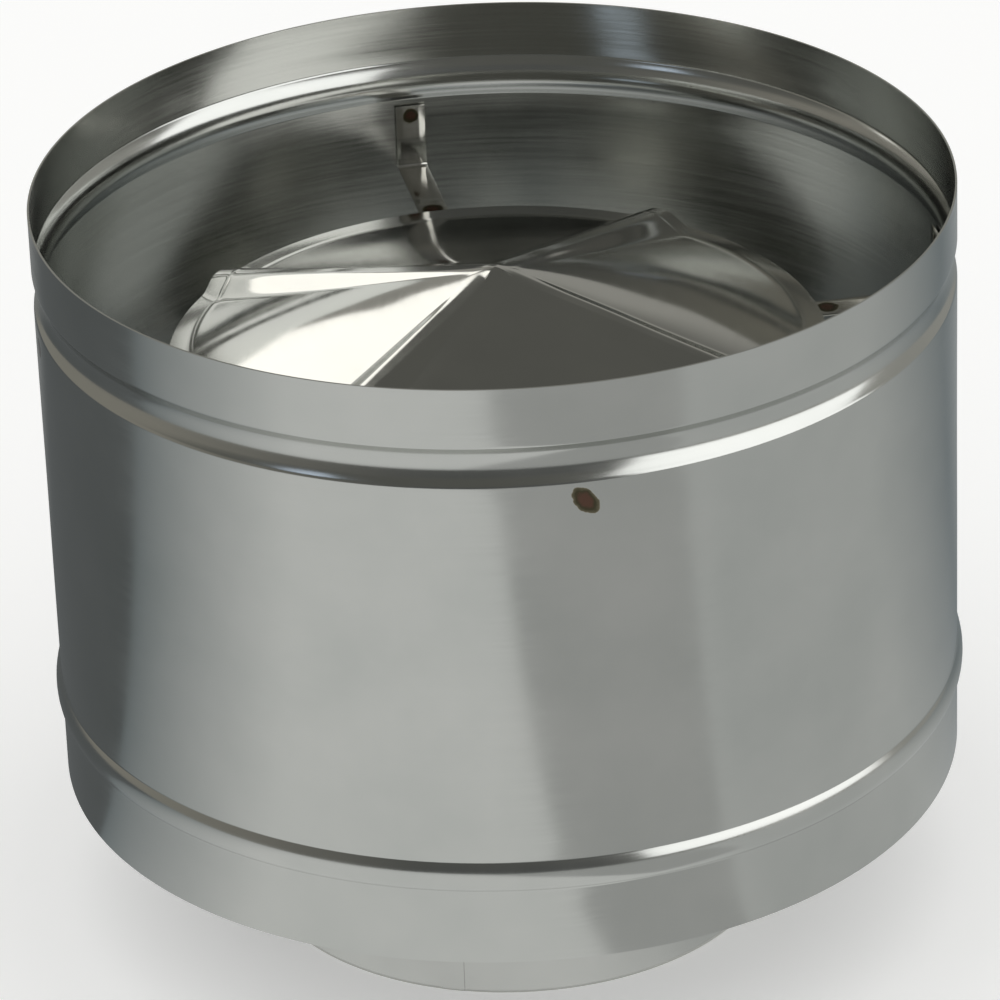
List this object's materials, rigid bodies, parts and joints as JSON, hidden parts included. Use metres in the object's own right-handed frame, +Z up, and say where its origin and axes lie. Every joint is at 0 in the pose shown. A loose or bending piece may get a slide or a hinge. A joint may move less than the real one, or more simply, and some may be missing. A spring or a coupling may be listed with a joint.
{
  "type": "barrel chimney cowl",
  "caption": "Open cylindrical sheet-steel barrel with rolled swages round a socketed flue spigot with a flared throat, a shallow ribbed conical rain cap held inside its mouth.",
  "frame": {"origin": "centre of the spigot's lower edge, at the bottom of the part", "axes": "+Z up along the barrel's axis, -Y towards the front that the picture shows, +X to the right"},
  "size_m": [0.3543, 0.3544, 0.295],
  "materials": {
    "barrel_sheet": "bright annealed stainless sheet: soft satin mirror outside, bright mirror inside",
    "cap_sheet": "bright annealed stainless sheet, mirror bright, slightly wavy from pressing",
    "spigot_sheet": "bright annealed stainless sheet",
    "strap_sheet": "bright stainless strip with brown heat tint at the spot welds"
  },
  "bodies": {
    "root": {"spigot_pipe": "spigot_sheet", "diffuser_cone": "spigot_sheet", "barrel_shell": "barrel_sheet", "rain_cap": "cap_sheet", "cap_bracket_right": "strap_sheet", "cap_bracket_rear": "strap_sheet", "cap_bracket_left": "strap_sheet", "cap_bracket_front": "strap_sheet", "stay_rear_right": "strap_sheet", "stay_rear_left": "strap_sheet", "stay_front_left": "strap_sheet", "stay_front_right": "strap_sheet"}
  },
  "joints": []
}
